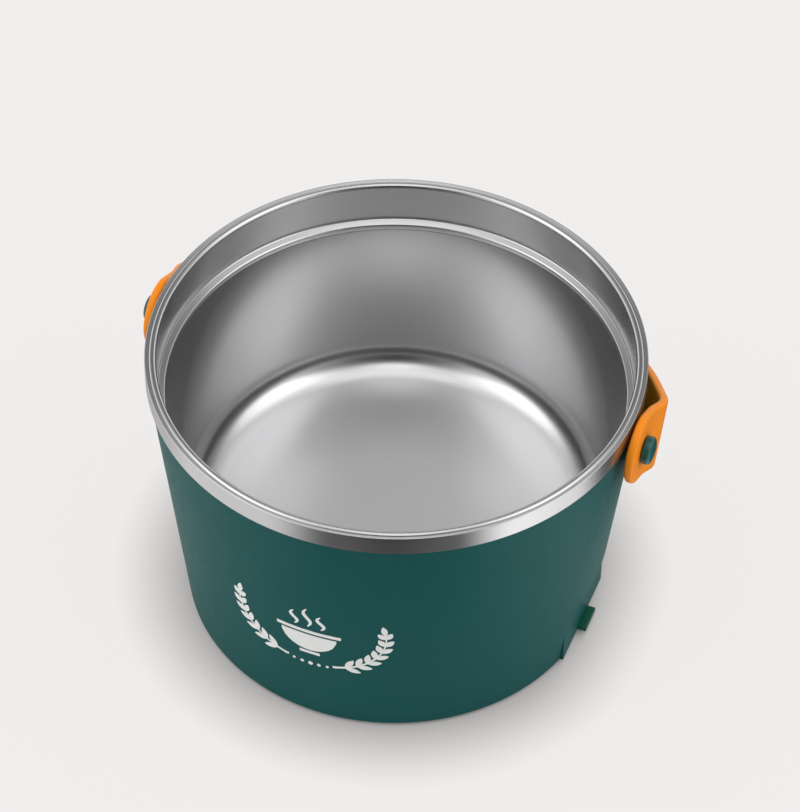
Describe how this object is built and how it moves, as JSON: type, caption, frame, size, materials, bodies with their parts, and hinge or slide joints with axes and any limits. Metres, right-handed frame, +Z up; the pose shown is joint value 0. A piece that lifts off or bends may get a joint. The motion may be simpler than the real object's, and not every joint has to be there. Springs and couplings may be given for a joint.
{
  "type": "electric lunch box",
  "caption": "Open electric lunch box: tapered plastic pot with a stepped steel bowl, heater and power inlet in its base, and a carrying strap riveted at the rim.",
  "frame": {"origin": "centre of the footprint, on the table under the rubber ring", "axes": "+Z up out of the bowl; +X towards the power inlet and the right rivet; -Y is the front"},
  "size_m": [0.177, 0.1732, 0.106],
  "materials": {
    "shell_green": "satin moulded plastic, dark green",
    "steel": "satin stainless steel",
    "seal": "translucent silicone",
    "insulation": "felted fibre",
    "aluminium": "mill finish",
    "ceramic": "dark film round the element",
    "black_plastic": "fine moulded texture",
    "rubber_black": "matt rubber",
    "cover_green": "green silicone",
    "plated_steel": "zinc plated",
    "lead_red": "silicone insulation",
    "lead_white": "silicone insulation",
    "strap_orange": "soft moulded strap, orange",
    "rivet_green": "smooth moulded plastic"
  },
  "bodies": {
    "pot": {"outer_shell": "shell_green", "inner_liner": "steel", "rim_band": "steel", "rim_seal": "seal", "insulation_sleeve": "insulation", "heat_plate": "aluminium", "ptc_heater": "ceramic", "heater_clamp": "plated_steel", "clamp_screws": "plated_steel", "thermostat": "black_plastic", "thermal_fuse": "insulation", "fuse_clip": "plated_steel", "heat_shield": "aluminium", "shield_nuts": "plated_steel", "power_socket": "black_plastic", "socket_pins": "plated_steel", "socket_screws": "plated_steel", "live_lead": "lead_red", "link_lead": "lead_red", "return_lead": "lead_white", "neutral_lead": "lead_white", "base_cover": "shell_green", "base_screws": "plated_steel", "foot_ring": "rubber_black", "right_washer": "black_plastic", "left_washer": "black_plastic", "right_rivet": "rivet_green", "left_rivet": "rivet_green"},
    "strap": {"strap_handle": "strap_orange"},
    "inlet_cover": {"socket_cover": "cover_green"}
  },
  "joints": [
    {"name": "strap_swing", "type": "hinge", "parent": "pot", "child": "strap", "pos_m": [0, 0, 0.093], "axis": [1, 0, 0], "range_deg": [0, 235.1]},
    {"name": "cover_swing", "type": "hinge", "parent": "pot", "child": "inlet_cover", "pos_m": [0.0676, 0, 0.0265], "axis": [0, -1, 0], "range_deg": [0, 85]}
  ]
}
